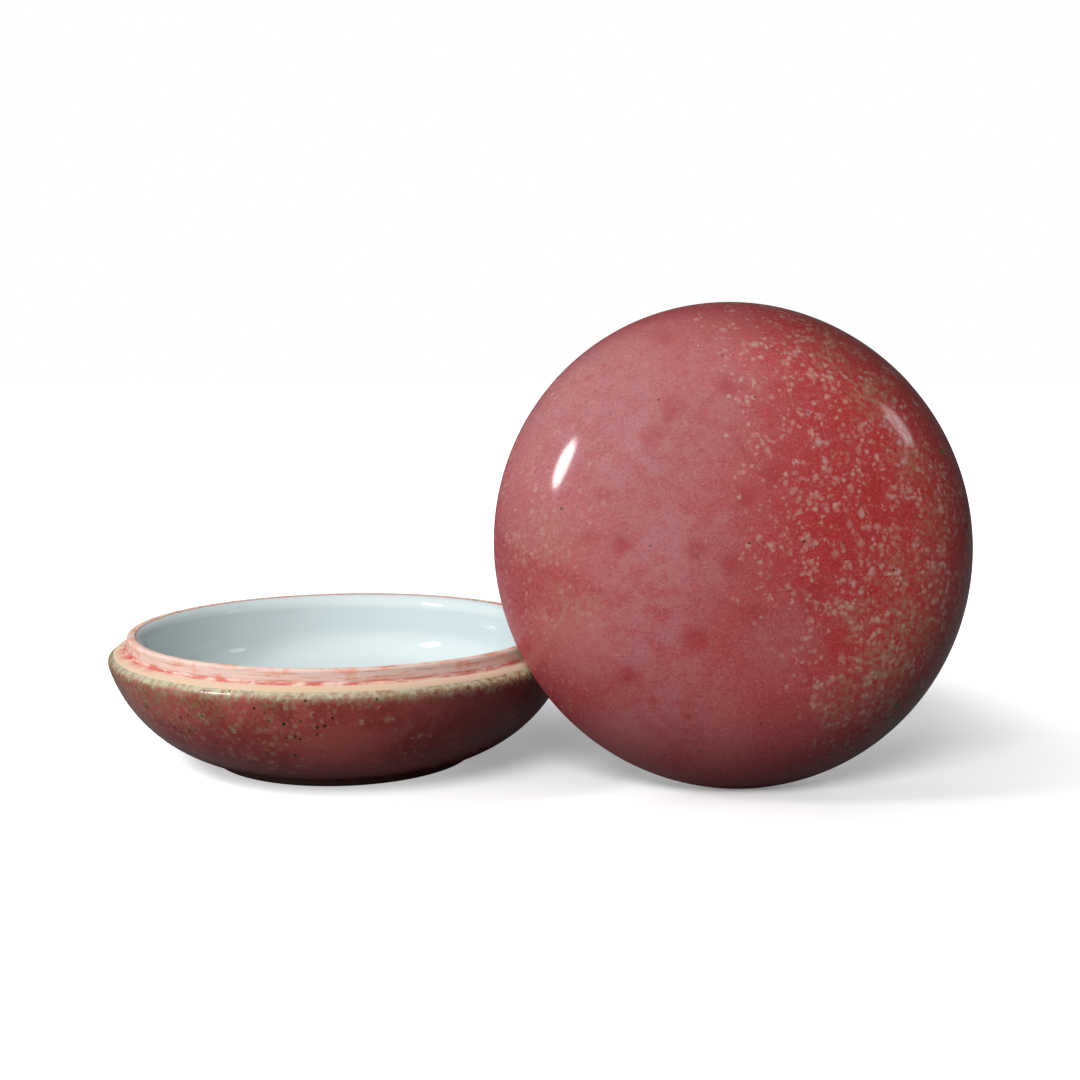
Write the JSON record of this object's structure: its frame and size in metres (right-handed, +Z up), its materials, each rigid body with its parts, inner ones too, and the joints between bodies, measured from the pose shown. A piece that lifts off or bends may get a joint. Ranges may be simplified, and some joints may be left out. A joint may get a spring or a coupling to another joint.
{
  "type": "seal paste box",
  "caption": "Low round porcelain box for seal paste, with a lipped base and a domed cover that lifts off and stands on its edge beside it.",
  "frame": {"origin": "on the table under the centre of the base's foot ring", "axes": "+Z up along the base's axis, +X to the right towards the standing cover, +Y to the back"},
  "size_m": [0.132, 0.072, 0.0707],
  "materials": {
    "biscuit_porcelain": "bare fired porcelain, matt, stained by red paste",
    "peach_glaze_base": "glossy dusty red glaze with green and buff flecks",
    "peach_glaze_cover": "glossy dusty red glaze with buff flecks",
    "clear_lining": "glossy clear glaze, faintly blue"
  },
  "bodies": {
    "base": {"base_body": "biscuit_porcelain", "base_peach_glaze": "peach_glaze_base", "base_lining_glaze": "clear_lining", "base_foot_glaze": "clear_lining"},
    "cover": {"cover_body": "biscuit_porcelain", "cover_peach_glaze": "peach_glaze_cover", "cover_lining_glaze": "clear_lining"}
  },
  "joints": [
    {"name": "cover_lift", "type": "slide", "parent": "base", "child": "cover", "axis": [0, 0, 1], "range_m": [0, 0.08]}
  ]
}
